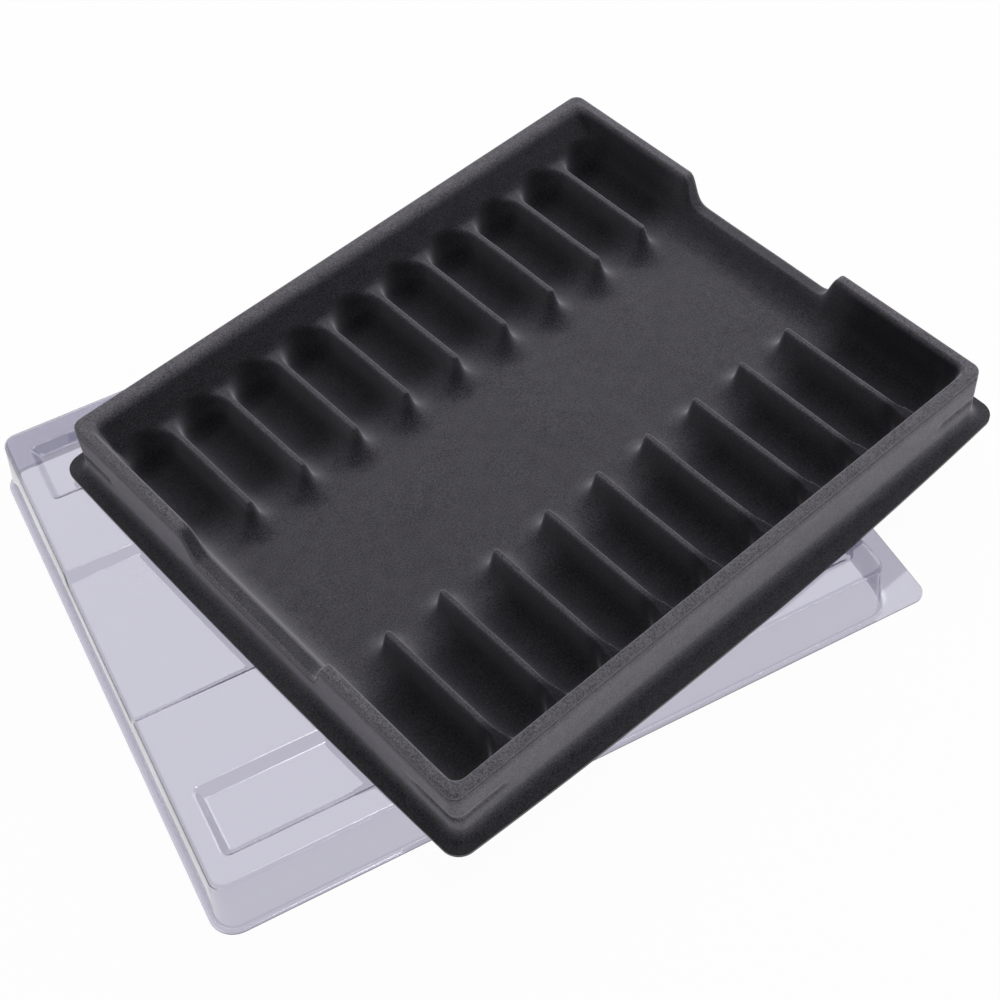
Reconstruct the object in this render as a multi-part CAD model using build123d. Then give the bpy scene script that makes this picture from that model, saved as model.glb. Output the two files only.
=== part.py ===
from build123d import *
import math
import os

# Sizes are in millimetres and degrees. X runs along the tray's long side, Y along its short side
# and Z up. The lid lies dome up on the table, and the tray stands on the lid's closed face.

# Tray: its sheet, its height over the flange's underside, and depths below the rim
TRAY_HEIGHT = 19.4
TRAY_SHEET = 0.9
FLOOR_DEPTH = 17.2
RIB_DEPTH = 7.0
NOTCH_DEPTH = 9.6

# Slots and ribs
SLOT_COUNT = 10
SLOT_PITCH = 18.3
SLOT_FLAT = 1.0
SLOT_STRAIGHT = 31.5
FLOOR_RADIUS = 7.0
WALL_DRAFT = 6.0

# Trough, notches, rim, the sloping far wall and the steep near wall
TROUGH_WIDTH = 58.4
NOTCH_WIDTH = 58.4
NOTCH_DRAFT = 17.0
NOTCH_FLOOR_RADIUS = 4.5
RIM_BAND = 4.0
RIM_CORNER = 3.2
RIM_EDGE_RADIUS = 1.0
WALL_SLOPE_RUN = 8.4
SLOT_END_BITE = 1.0
NEAR_END_LEDGE = 0.3
INNER_CORNER = 2.5

# Flange of the tray: its reach at the corners and how far each side bows out past that
FLANGE_REACH = 4.5
FLANGE_BOW_LONG = 2.7
FLANGE_BOW_SHORT = 1.0
FLANGE_CORNER = 5.3
FLANGE_FLARE_RADIUS = 3.0

# Catch grooves pressed into the tray's outer corners
GROOVE_DEPTH = 0.5
GROOVE_HEIGHT = 2.2
GROOVE_LENGTH = 14.0
GROOVE_RISE = 7.5

# Lid: its sheet, its fit over the tray's rim, its flange and the lift tab at +X
LID_SHEET = 0.4
LID_CLEARANCE = 0.25
LID_HEADROOM = 0.1
LID_DRAFT = 5.8
LID_EDGE_RADIUS = 1.2
LID_FLANGE = 1.2
LID_FLANGE_CORNER = 7.0
LID_FOOT_RADIUS = 0.8
TAB_REACH = 11.5
TAB_CORNER = 4.0

# Recesses in the lid's closed face, inside the rim: two bars, and a channel over the notches
RECESS_DEPTH = 2.4
RECESS_SLOPE = 42.0
RECESS_CORNER = 1.5
BAR_END_GAP = 1.2
BAR_WIDTH = 21.0
BAR_OFFSET = 62.5
CHANNEL_GAP = 2.7

# How the two pieces lie on each other
LID_TURN = -14.4
LID_SHIFT = (-33.8, 4.3)

# Margin by which a cutting tool runs past the material that it cuts
PAST = 2.0


def tan(angle):
    return math.tan(math.radians(angle))


def sin(angle):
    return math.sin(math.radians(angle))


def cos(angle):
    return math.cos(math.radians(angle))


# Heights above the flange's underside
FLOOR_Z = TRAY_HEIGHT - FLOOR_DEPTH
RIB_Z = TRAY_HEIGHT - RIB_DEPTH
NOTCH_Z = TRAY_HEIGHT - NOTCH_DEPTH
FILLET_Z = FLOOR_Z + FLOOR_RADIUS

# Places of the slots and of the tips of the ribs
SLOT_X = [(k - (SLOT_COUNT - 1) / 2) * SLOT_PITCH for k in range(SLOT_COUNT)]
RIB_X = [x + SLOT_PITCH / 2 for x in SLOT_X[:-1]]
TIP_Y = TROUGH_WIDTH / 2
SLOT_END_Y = TIP_Y + SLOT_STRAIGHT


def slot_half(z, inset=0.0):
    """Half width of a slot at height z, with its surface moved into the sheet by inset."""
    radius = FLOOR_RADIUS + inset
    start_z = FILLET_Z - radius * sin(WALL_DRAFT)
    return SLOT_FLAT / 2 + radius * cos(WALL_DRAFT) + (z - start_z) * tan(WALL_DRAFT)


# Plan sizes that follow from the slots
END_WALL_X = SLOT_X[-1] + slot_half(TRAY_HEIGHT)
SLOPE_FOOT_Y = SLOT_END_Y + slot_half(RIB_Z) - SLOT_END_BITE
MOUTH_Y = SLOPE_FOOT_Y + WALL_SLOPE_RUN
TRAY_LENGTH = 2 * (END_WALL_X + RIM_BAND)
TRAY_WIDTH = 2 * (MOUTH_Y + RIM_BAND)
SLOPE_ANGLE = math.degrees(math.atan(WALL_SLOPE_RUN / RIB_DEPTH))

# The near wall has the end walls' section, and the near slots run up to it
NEAR_WALL_Y = MOUTH_Y - slot_half(TRAY_HEIGHT)
NEAR_END_Y = NEAR_WALL_Y - NEAR_END_LEDGE


def rounded_block(levels):
    """Solid through rounded rectangles, each given as (z, length, width, corner radius)."""
    faces = [Pos(0, 0, z) * RectangleRounded(length, width, radius) for z, length, width, radius in levels]
    return loft(faces, ruled=True)


def join_with_fillet(base, block, radius):
    """A block standing on a base plate, with a fillet all round its foot."""
    joined = base + block
    return fillet(new_edges(base, block, combined=joined), radius)


def bowed_outline(half_x, half_y):
    """Plan of the tray's flange: each side bows out past its own corners."""
    bow_x = FLANGE_BOW_LONG
    bow_y = FLANGE_BOW_SHORT
    sides = (
        ThreePointArc((-half_x, -half_y), (0, -half_y - bow_x), (half_x, -half_y))
        + ThreePointArc((half_x, -half_y), (half_x + bow_y, 0), (half_x, half_y))
        + ThreePointArc((half_x, half_y), (0, half_y + bow_x), (-half_x, half_y))
        + ThreePointArc((-half_x, half_y), (-half_x - bow_y, 0), (-half_x, -half_y))
    )
    face = make_face(sides)
    return fillet(face.vertices(), FLANGE_CORNER)


def channel_profile(centre_x, inset, top_z, right_only=False):
    """Section in X and Z of a channel whose outer floor fillets are those of slots at +-centre_x."""
    radius = FLOOR_RADIUS + inset
    flat = centre_x + SLOT_FLAT / 2
    floor_z = FLOOR_Z - inset
    start = (flat + radius * cos(WALL_DRAFT), FILLET_Z - radius * sin(WALL_DRAFT))
    middle = (flat + radius * cos(45), FILLET_Z - radius * sin(45))
    top = (centre_x + slot_half(top_z, inset), top_z)
    right = (
        Line((0, floor_z), (flat, floor_z))
        + ThreePointArc((flat, floor_z), middle, start)
        + Line(start, top)
        + Line(top, (0, top_z))
    )
    if right_only:
        return make_face(right + Line((0, top_z), (0, floor_z)))
    return make_face(right + mirror(right, Plane.YZ))


def nose_profile(inset):
    """Half section of a rib, from its middle out to the slot's floor."""
    radius = FLOOR_RADIUS + inset
    rib_z = RIB_Z - inset
    floor_z = FLOOR_Z - inset
    root_z = floor_z - TRAY_SHEET / 2
    foot_x = SLOT_PITCH / 2 - SLOT_FLAT / 2
    start = (foot_x - radius * cos(WALL_DRAFT), FILLET_Z - radius * sin(WALL_DRAFT))
    middle = (foot_x - radius * cos(45), FILLET_Z - radius * sin(45))
    top = (SLOT_PITCH / 2 - slot_half(rib_z, inset), rib_z)
    outline = (
        Line((0, rib_z), top)
        + Line(top, start)
        + ThreePointArc(start, middle, (foot_x, floor_z))
        + Line((foot_x, floor_z), (foot_x, root_z))
        + Line((foot_x, root_z), (0, root_z))
        + Line((0, root_z), (0, rib_z))
    )
    return make_face(outline)


def main_cavity(inset):
    """Space above the ribs, with steep end walls, a steep near wall and a sloping far wall."""
    faces = []
    for z in (RIB_Z - inset, TRAY_HEIGHT + PAST):
        half_x = SLOT_X[-1] + slot_half(z, inset)
        far_y = SLOPE_FOOT_Y + (z - RIB_Z) * tan(SLOPE_ANGLE) + inset / cos(SLOPE_ANGLE)
        near_y = -NEAR_WALL_Y - slot_half(z, inset)
        plan = RectangleRounded(2 * half_x, far_y - near_y, INNER_CORNER + inset)
        faces.append(Pos(0, (far_y + near_y) / 2, z) * plan)
    return loft(faces, ruled=True)


def slot_cavity(straight, inset):
    """One slot at X 0, from the trough to its rounded outer end."""
    top_z = RIB_Z + RIB_DEPTH / 2
    run = extrude(Plane.XZ * channel_profile(0, inset, top_z), -straight)
    end = revolve(Plane.XZ * channel_profile(0, inset, top_z, right_only=True), Axis.Z, 180)
    return Pos(0, TIP_Y, 0) * (run + Pos(0, straight, 0) * end)


def slot_cavities(inset):
    """The slots of both banks: the near ones are longer, up to the steep near wall."""
    far_slot = slot_cavity(SLOT_STRAIGHT, inset)
    near_slot = Rot(0, 0, 180) * slot_cavity(NEAR_END_Y - TIP_Y, inset)
    return [Pos(x, 0, 0) * slot for x in SLOT_X for slot in (far_slot, near_slot)]


def trough_cavity(inset):
    """The trough between the banks."""
    section = channel_profile(SLOT_X[-1], inset, RIB_Z + RIB_DEPTH / 2)
    return Pos(0, TIP_Y, 0) * extrude(Plane.XZ * section, TROUGH_WIDTH)


def rib_noses(inset):
    """The rounded ends of the ribs, which flare out into the trough."""
    nose = revolve(Plane.XZ * nose_profile(inset), Axis.Z, 180)
    near = [Pos(x, -TIP_Y, 0) * nose for x in RIB_X]
    return near + [Rot(0, 0, 180) * nose for nose in near]


def notch_cavities(inset):
    """The finger notches through both end walls."""
    half_top = NOTCH_WIDTH / 2 + PAST * tan(NOTCH_DRAFT)
    half_low = NOTCH_WIDTH / 2 - NOTCH_DEPTH * tan(NOTCH_DRAFT)
    high_z = TRAY_HEIGHT + PAST
    corners = ((-half_top, high_z), (-half_low, NOTCH_Z), (half_low, NOTCH_Z), (half_top, high_z))
    face = make_face(Polyline(*corners, close=True))
    face = fillet(face.vertices().sort_by(Axis.Y)[:2], NOTCH_FLOOR_RADIUS)
    if inset:
        face = offset(face, inset, kind=Kind.INTERSECTION)
    reach = RIM_BAND + NOTCH_DEPTH * tan(WALL_DRAFT) + 2 * PAST
    notch = Pos(TRAY_LENGTH / 2 + PAST - reach, 0, 0) * extrude(Plane.YZ * face, reach)
    return [notch, Rot(0, 0, 180) * notch]


def tray_block(inset):
    """The tray's flange and outer walls, with its rim still closed."""
    length = TRAY_LENGTH - 2 * inset
    width = TRAY_WIDTH - 2 * inset
    corner = RIM_CORNER - inset
    base_z = TRAY_SHEET - inset
    if inset:
        base = Pos(0, 0, -PAST) * extrude(bowed_outline(TRAY_LENGTH, TRAY_WIDTH), PAST)
    else:
        outline = bowed_outline(TRAY_LENGTH / 2 + FLANGE_REACH, TRAY_WIDTH / 2 + FLANGE_REACH)
        base = extrude(outline, TRAY_SHEET)
    walls = rounded_block([(base_z - TRAY_SHEET / 2, length, width, corner),
                           (TRAY_HEIGHT - inset, length, width, corner)])
    block = join_with_fillet(base, walls, FLANGE_FLARE_RADIUS + inset)
    if inset:
        return block
    return fillet(block.edges().group_by(Axis.Z)[-1], RIM_EDGE_RADIUS)


def tray_form(inset):
    """Solid under the tray's show surface, with that surface moved into the sheet by inset."""
    block = tray_block(inset)
    form = block - main_cavity(inset)
    if not inset:
        limit_x = END_WALL_X + RIM_BAND / 2
        limit_y = MOUTH_Y + RIM_BAND / 2
        mouth = [edge for edge in form.edges().group_by(Axis.Z)[-1]
                 if abs(edge.center().X) < limit_x and abs(edge.center().Y) < limit_y]
        form = fillet(mouth, RIM_EDGE_RADIUS)
    form -= trough_cavity(inset)
    form -= slot_cavities(inset)
    form += rib_noses(inset)
    return form - notch_cavities(inset)


def catch_grooves():
    """Shallow grooves round the four outer corners of the tray."""
    outside = RectangleRounded(TRAY_LENGTH + 2 * PAST, TRAY_WIDTH + 2 * PAST, RIM_CORNER)
    inside = RectangleRounded(TRAY_LENGTH - 2 * GROOVE_DEPTH, TRAY_WIDTH - 2 * GROOVE_DEPTH,
                              RIM_CORNER - GROOVE_DEPTH)
    ring = Pos(0, 0, GROOVE_RISE) * extrude(outside - inside, GROOVE_HEIGHT)
    corner = Box(2 * GROOVE_LENGTH, 2 * GROOVE_LENGTH, 2 * TRAY_HEIGHT)
    places = [(side_x * TRAY_LENGTH / 2, side_y * TRAY_WIDTH / 2) for side_x in (-1, 1) for side_y in (-1, 1)]
    return [ring & Pos(x, y, 0) * corner for x, y in places]


def flocked_tray():
    """The tray's sheet: the form under its show side, less the same form one sheet lower."""
    sheet = tray_form(0.0) - tray_form(TRAY_SHEET)
    return sheet - catch_grooves()


# Sizes of the lid that follow from the tray's rim
LID_HEIGHT = TRAY_HEIGHT - TRAY_SHEET + LID_SHEET + LID_HEADROOM
LID_TOP_X = TRAY_LENGTH / 2 + LID_CLEARANCE + LID_SHEET
LID_TOP_Y = TRAY_WIDTH / 2 + LID_CLEARANCE + LID_SHEET
LID_CORNER = RIM_CORNER + LID_CLEARANCE + LID_SHEET
LID_SPREAD = LID_HEIGHT * tan(LID_DRAFT)
BAR_LENGTH = 2 * (END_WALL_X - BAR_END_GAP)
CHANNEL_WIDTH = NOTCH_WIDTH - 2 * CHANNEL_GAP


def lid_flange():
    """Plan of the lid's flange, which runs out into the lift tab at +X."""
    side_x = LID_TOP_X + LID_SPREAD
    side_y = LID_TOP_Y + LID_SPREAD + LID_FLANGE
    face = make_face(Polyline((-side_x - LID_FLANGE, -side_y), (side_x + TAB_REACH, -side_y),
                              (side_x + TAB_REACH, side_y), (-side_x - LID_FLANGE, side_y), close=True))
    ends = face.vertices().group_by(Axis.X)
    face = fillet(ends[0], LID_FLANGE_CORNER)
    return fillet(face.vertices().group_by(Axis.X)[-1], TAB_CORNER)


def lid_recess(length, width, inset):
    """Tool for a recess with sloping sides, whose mouth is length by width."""
    levels = []
    for z in (LID_HEIGHT - RECESS_DEPTH - inset, LID_HEIGHT + PAST):
        grow = 2 * ((z - LID_HEIGHT) * tan(RECESS_SLOPE) + inset / cos(RECESS_SLOPE))
        levels.append((z, length + grow, width + grow, RECESS_CORNER))
    return rounded_block(levels)


def lid_form(inset):
    """Solid under the lid's outer surface, with that surface moved into the sheet by inset."""
    base_z = LID_SHEET - inset
    levels = []
    for z in (base_z - LID_SHEET / 2, LID_HEIGHT - inset):
        grow = (LID_HEIGHT - z) * tan(LID_DRAFT) - inset / cos(LID_DRAFT)
        levels.append((z, 2 * (LID_TOP_X + grow), 2 * (LID_TOP_Y + grow), LID_CORNER + grow))
    dome = rounded_block(levels)
    dome = fillet(dome.edges().group_by(Axis.Z)[-1], LID_EDGE_RADIUS - inset)
    if inset:
        base = Pos(0, 0, -PAST) * extrude(Rectangle(4 * LID_TOP_X, 4 * LID_TOP_Y), PAST)
    else:
        base = extrude(lid_flange(), LID_SHEET)
    form = join_with_fillet(base, dome, LID_FOOT_RADIUS + inset)
    bar = lid_recess(BAR_LENGTH, BAR_WIDTH, inset)
    bars = [Pos(0, BAR_OFFSET, 0) * bar, Pos(0, -BAR_OFFSET, 0) * bar]
    return form - bars - lid_recess(4 * LID_TOP_X, CHANNEL_WIDTH, inset)


def clear_lid():
    """The lid's sheet, dome up, turned and shifted as it lies under the tray."""
    sheet = lid_form(0.0) - lid_form(LID_SHEET)
    return Pos(LID_SHIFT[0], LID_SHIFT[1], 0) * Rot(0, 0, LID_TURN) * sheet


tray = Pos(0, 0, LID_HEIGHT) * flocked_tray()
lid = clear_lid()

# The part's origin is the middle of its footprint, on the table
low = tray.bounding_box().min
high = tray.bounding_box().max
lid_box = lid.bounding_box()
middle_x = (min(low.X, lid_box.min.X) + max(high.X, lid_box.max.X)) / 2
middle_y = (min(low.Y, lid_box.min.Y) + max(high.Y, lid_box.max.Y)) / 2
place = Pos(-middle_x, -middle_y, 0)

os.makedirs("parts", exist_ok=True)
for name, piece in {"flocked_tray": tray, "clear_lid": lid}.items():
    piece = place * piece
    piece.label = name
    export_step(piece, f"parts/{name}.step")
    box = piece.bounding_box()
    print(name, piece.is_valid, len(piece.solids()), round(piece.volume, 1),
          [round(value, 3) for value in (*box.min, *box.max)])
print("tray middle", round(-middle_x, 3), round(-middle_y, 3), "lid height", round(LID_HEIGHT, 3),
      "tray", round(TRAY_LENGTH, 3), round(TRAY_WIDTH, 3))
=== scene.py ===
import math

import bpy
import numpy as np
from mathutils import Matrix, Vector, noise


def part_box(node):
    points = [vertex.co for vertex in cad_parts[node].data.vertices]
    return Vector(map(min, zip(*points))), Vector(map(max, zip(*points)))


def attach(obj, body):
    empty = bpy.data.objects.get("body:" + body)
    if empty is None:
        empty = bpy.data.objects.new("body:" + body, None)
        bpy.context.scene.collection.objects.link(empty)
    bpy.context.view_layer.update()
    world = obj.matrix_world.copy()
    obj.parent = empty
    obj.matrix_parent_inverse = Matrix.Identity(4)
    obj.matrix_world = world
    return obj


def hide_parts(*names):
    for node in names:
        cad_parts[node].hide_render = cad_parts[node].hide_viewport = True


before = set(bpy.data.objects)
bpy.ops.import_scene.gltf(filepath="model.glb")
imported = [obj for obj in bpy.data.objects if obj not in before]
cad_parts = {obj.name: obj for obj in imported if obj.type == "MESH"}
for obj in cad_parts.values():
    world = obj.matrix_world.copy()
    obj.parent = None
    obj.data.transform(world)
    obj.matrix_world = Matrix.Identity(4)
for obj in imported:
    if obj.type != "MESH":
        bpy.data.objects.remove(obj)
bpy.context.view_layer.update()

bl_info = {
    "name": "Pen Display Case",
    "version": (1, 0, 0),
    "blender": (4, 5, 0),
    "location": "View3D > Sidebar > Pen Case",
    "description": "Flocked pen tray standing on its clear lid, with a plain studio stage",
    "category": "Add Mesh",
}

# The forms are worked out in millimetres and become metres when their mesh is made
MM = 0.001

# The tray's place in the frame: its middle in plan, its seat and its rim
TRAY_LOW, TRAY_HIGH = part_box("flocked_tray")
TRAY_MIDDLE = ((TRAY_LOW + TRAY_HIGH) / 2).xy / MM
TRAY_SEAT = TRAY_LOW.z / MM
TRAY_HEIGHT = TRAY_HIGH.z / MM - TRAY_SEAT

# Tray: its sheet, the share of it that forming leaves in the walls, and the share of a bend's radius that
# the sheet may fill
TRAY_SHEET = 0.9
DRAWN_SHARE = 0.5
BEND_ROOM = 0.7

# Tray: length of the slow waves in its sheet, and how far from a wall the crests get their own crispness
WANDER_LENGTH = 22.0
WALL_REACH = 4.0

# Tray: depths below the rim, slots and ribs
FLOOR_DEPTH = 17.2
RIB_DEPTH = 7.0
NOTCH_DEPTH = 9.6
SLOT_COUNT = 10
SLOT_PITCH = 18.3
SLOT_FLAT = 1.0
SLOT_STRAIGHT = 31.5
FLOOR_RADIUS = 7.0
WALL_DRAFT = math.radians(6.0)

# Tray: trough, notches and rim
TIP_Y = 29.2
NOTCH_TOP_Y = 29.2
NOTCH_DRAFT = math.radians(17.0)
NOTCH_FLOOR_RADIUS = 4.5
RIM_BAND = 4.0
RIM_CORNER = 3.2
RIM_EDGE_RADIUS = 1.0
WALL_SLOPE_RUN = 8.4
SLOT_END_BITE = 1.0
NEAR_END_LEDGE = 0.3
INNER_CORNER = 2.5

# Tray: the line under the rim, and the catch grooves with the lengths over which they run out
RIM_LINE_DROP = 1.7
RIM_LINE_HEIGHT = 1.1
RIM_LINE_DEPTH = 0.25
GROOVE_DEPTH = 0.5
GROOVE_LENGTH = 14.0
GROOVE_LOW = 7.5
GROOVE_HIGH = 9.7
GROOVE_EDGE = 0.4
GROOVE_RUN_OUT = 2.0

# Tray: flare and flange
FLANGE_FLARE_RADIUS = 3.0
FLANGE_REACH = 4.5
FLANGE_BOW_LONG = 2.7
FLANGE_BOW_SHORT = 1.0
FLANGE_CORNER = 5.3

# Lid: its sheet, wall, foot, flange and lift tab
LID_SHEET = 0.4
LID_HEIGHT = TRAY_SEAT
LID_CLEARANCE = 0.25
LID_DRAFT = math.radians(5.8)
LID_EDGE_RADIUS = 1.2
LID_FOOT_RADIUS = 0.8
LID_FLANGE = 1.2
LID_FLANGE_CORNER = 7.0
TAB_REACH = 11.5
TAB_CORNER = 4.0

# Lid: recesses in its closed face, and how it lies under the tray
RECESS_DEPTH = 2.4
RECESS_SLOPE = math.radians(42.0)
RECESS_CORNER = 1.5
RECESS_EDGE = 0.8
BAR_END_GAP = 1.2
BAR_WIDTH = 21.0
BAR_OFFSET = 62.5
CHANNEL_GAP = 2.7
LID_TURN = math.radians(-14.4)
LID_SHIFT = (-33.8, 4.3)

# Painted shade on the flock, from 0 for its own colour to 1 for its shaded colour: it grows down into the
# tray, most in the pockets, slots and groove under the rim, and the flare and flange are painted darker
TROUGH_SHADE = 0.58
CREST_SHADE = 0.45
POCKET_SHADE = 0.95
SLOPE_SHADE = 0.8
FLANGE_DARKENING = 0.72
RIM_LINE_SHADE = 0.6

# Lengths over which the painted shade changes: into a slot, down from a crest and down from the rim
POCKET_REACH = 12.0
CREST_FADE = 9.0
RIM_FADE = 2.0

# Refractive indices
PVC_IOR = 1.53
POLYSTYRENE_IOR = 1.59

# Patterns in the materials: how wide they are, and how deep where they are drawn as a bump
FLOCK_MOTTLE = 4.0
FLOCK_PILE = 0.12
FORMED_WAVE = 6.0
FORMED_WAVE_DEPTH = 0.1
SHEET_WAVE_DEPTH = 0.3
SHEAR_NICK = 0.8

# Floor: the share of its look that is plain white, where the rest is paper that shows how it is lit; its
# half width; and how far it lies below the lid's flange, so that the two faces don't fight
FLOOR_WHITE_SHARE = 0.97
FLOOR_HALF = 3000.0
FLOOR_DROP = 0.1

# Lamps, in metres: where each stands, the point that it faces, its width and its height
LAMPS = {
    "key": ((0.45, 0.58, 0.95), (0, 0, 0), 1.3, 1.3),
    "side": ((1.1, 0.1, 0.8), (0, 0, 0), 0.8, 0.8),
    "top": ((0.05, -0.18, 1.0), (0, 0, 0), 0.16, 0.45),
    "front": ((0.2, -0.6, 0.03), (0, 0, 0.03), 0.9, 0.05),
    "left": ((-0.6, -0.1, 0.03), (0, 0, 0.03), 0.9, 0.05),
}

# Camera: the width of its sensor in millimetres, and how far it sees in metres
SENSOR_WIDTH = 36.0
SIGHT = 20.0

# Names of the values that are stored on the tray's mesh
# The first names the flock's painted shade
PAINTED_SHADE_NAME = "thin_flock"
DRAWN_SHEET = "drawn_sheet"

# Keeps a division from failing where its divisor may be 0
TINY = 1e-9


def linear_from_hex(code):
    """Linear RGBA of an sRGB hex colour."""
    parts = [int(code[k:k + 2], 16) / 255 for k in (1, 3, 5)]
    return tuple(c / 12.92 if c <= 0.04045 else ((c + 0.055) / 1.055) ** 2.4 for c in parts) + (1.0,)


def colour_property(name, code, description):
    """Colour property whose default is an sRGB hex colour."""
    return bpy.props.FloatVectorProperty(
        name=name, description=description, subtype="COLOR", size=4, min=0.0, max=1.0,
        default=linear_from_hex(code),
    )


def length_property(name, millimetres, description, least=0.0):
    """Length property whose default is given in millimetres, and whose least value in metres."""
    return bpy.props.FloatProperty(
        name=name, description=description, unit="LENGTH", subtype="DISTANCE", min=least, precision=5,
        default=millimetres * MM,
    )


def angle_property(name, degrees, description):
    """Angle property whose default is given in degrees."""
    return bpy.props.FloatProperty(
        name=name, description=description, unit="ROTATION", subtype="ANGLE", default=math.radians(degrees),
    )


def power_property(name, watts, description):
    """Power property of a lamp."""
    return bpy.props.FloatProperty(name=name, description=description, unit="POWER", min=0.0, default=watts)


class PenCaseTray(bpy.types.PropertyGroup):
    """Sheet and flock of the tray"""
    sheet: length_property("Sheet", TRAY_SHEET, "Thickness of the flocked sheet")
    softness: length_property("Wall softness", 1.25, "Radius over which forming rounds the walls' edges")
    crest_softness: length_property("Crest softness", 0.65, "Radius over which it rounds the ribs' edges")
    unevenness: length_property("Unevenness", 0.3, "How far the formed sheet wanders from its true shape")
    # The unshaded flock colour is the rim's; the shaded one is painted shade, mixed in down in the tray and
    # on the flange
    flock_unshaded: colour_property("Full flock", "#656369", "Colour where the fibres stand close, on the rim")
    flock_shaded: colour_property("Thin flock", "#222125", "Colour where forming drew the fibres apart")
    fibre_side: colour_property("Fibre sides", "#b4b2ba", "Colour of the pile where it is seen edge on")
    fibre: length_property("Fibre grain", 0.45, "Width of the grain that the fibre tufts show")


class PenCaseLid(bpy.types.PropertyGroup):
    """Sheet of the lid"""
    sheet: length_property("Sheet", LID_SHEET, "Thickness of the clear sheet")
    # The tint is partly the sheet's own faint violet and partly painted shade of the floor beneath the lid
    tint_and_floor_shade: colour_property("Tint", "#b7b5c4", "What the sheet leaves of white light that passes through it")
    wave: length_property("Waves", 30.0, "Length of the slow waves that forming leaves in the sheet")


class PenCaseStage(bpy.types.PropertyGroup):
    """Camera, lights and floor"""
    azimuth: angle_property("Azimuth", 37.69, "Direction of the view in plan, turned from +Y towards +X")
    elevation: angle_property("Elevation", 52.36, "How steeply the camera looks down")
    roll: angle_property("Roll", -5.27, "How far the camera leans")
    distance: length_property("Distance", 493.69, "From the camera to the point it aims at")
    aim_x: length_property("Aim X", -28.16, "Aim point from the tray's middle, along its length", least=-1.0)
    aim_y: length_property("Aim Y", -21.77, "Aim point from the tray's middle, along its slots", least=-1.0)
    lens: bpy.props.FloatProperty(
        name="Lens", description="Focal length in millimetres", default=68.45, min=1.0)
    key_power: power_property("Key light", 8.0, "Power of the large light behind the case")
    side_power: power_property("Side light", 4.2, "Power of the light at the right")
    top_power: power_property("Top light", 1.8, "Power of the small light overhead")
    front_power: power_property("Front strip", 1.05, "Power of the low strip before the case")
    left_power: power_property("Left strip", 0.85, "Power of the low strip at the left")
    sky: bpy.props.FloatProperty(
        name="Sky", description="Strength of the even light from all round", default=0.08, min=0.0)


# Pressed sheets: a grid over the closed face, then rings that run down and out from its border

def press_corners(x, y, half_x, half_y, radius):
    """Moves the points in a rectangle's corners onto quarter discs of the given radius."""
    u = np.abs(x) - (half_x - radius)
    v = np.abs(y) - (half_y - radius)
    inside = (u > 0) & (v > 0)
    reach = np.maximum(np.maximum(u, v), TINY)
    angle = np.where(u >= v, v / reach, 2 - u / reach) * math.pi / 4
    new_x = np.where(inside, np.sign(x) * (half_x - radius + reach * np.cos(angle)), x)
    new_y = np.where(inside, np.sign(y) * (half_y - radius + reach * np.sin(angle)), y)
    return new_x, new_y


def border_indices(count_x, count_y):
    """Indices of a grid's border points, counterclockwise from above."""
    index = np.arange(count_x * count_y).reshape(count_x, count_y)
    return np.concatenate([index[:-1, 0], index[-1, :-1], index[:0:-1, -1], index[0, :0:-1]])


class Border:
    """A rounded rectangle's border, which other outlines follow point by point."""

    def __init__(self, x, y, half_x, half_y, radius):
        self.across = np.clip(x / (half_x - radius), -1, 1)
        self.along = np.clip(y / (half_y - radius), -1, 1)
        round_x, round_y = press_corners(x, y, half_x, half_y, radius)
        self.normal_x = (round_x - self.across * (half_x - radius)) / radius
        self.normal_y = (round_y - self.along * (half_y - radius)) / radius
        self.half_x = half_x - radius
        self.half_y = half_y - radius
        self.radius = radius

    def offset(self, outset):
        """The border moved out by outset."""
        reach = self.radius + outset
        return (self.across * self.half_x + self.normal_x * reach,
                self.along * self.half_y + self.normal_y * reach)

    def outline(self, low_x, high_x, half_y, low_radius, high_radius):
        """Another rounded rectangle, with its own corner radii at low and high X."""
        share = (self.across + 1) / 2
        radius = low_radius + (high_radius - low_radius) * share
        x = (low_x + low_radius) * (1 - share) + (high_x - high_radius) * share + self.normal_x * radius
        y = self.along * (half_y - radius) + self.normal_y * radius
        return x, y


def sheet_mesh(name, x, y, z, rings):
    """Mesh of a grid of points and of the rings that go out from its border."""
    count_x, count_y = x.shape
    index = np.arange(count_x * count_y).reshape(count_x, count_y)
    corners = [index[:-1, :-1], index[1:, :-1], index[1:, 1:], index[:-1, 1:]]
    faces = np.stack(corners, axis=-1).reshape(-1, 4)
    points = [np.stack([x.ravel(), y.ravel(), z.ravel()], axis=1)]
    inner = border_indices(count_x, count_y)
    start = count_x * count_y
    for ring in rings:
        outer = start + np.arange(len(inner))
        points.append(np.stack(np.broadcast_arrays(*ring), axis=1))
        strip = np.stack([inner, outer, np.roll(outer, -1), np.roll(inner, -1)], axis=1)
        faces = np.concatenate([faces, strip])
        inner = outer
        start += len(inner)
    mesh = bpy.data.meshes.new(name)
    mesh.from_pydata((np.concatenate(points) * MM).tolist(), [], faces.tolist())
    mesh.shade_smooth()
    # The last ring is where the sheet was cut, so the surface doesn't bend smoothly there
    last_ring = start - len(inner)
    for edge in mesh.edges:
        edge.use_edge_sharp = min(edge.vertices) >= last_ring
    return mesh


def thicken(piece, thickness, back_offset, edge_offset):
    """Gives a surface its sheet, away from its show side. The offsets pick materials for back and edge."""
    solid = piece.modifiers.new("Sheet", "SOLIDIFY")
    solid.thickness = thickness
    solid.offset = -1.0
    solid.material_offset = back_offset
    solid.material_offset_rim = edge_offset
    return solid


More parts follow.
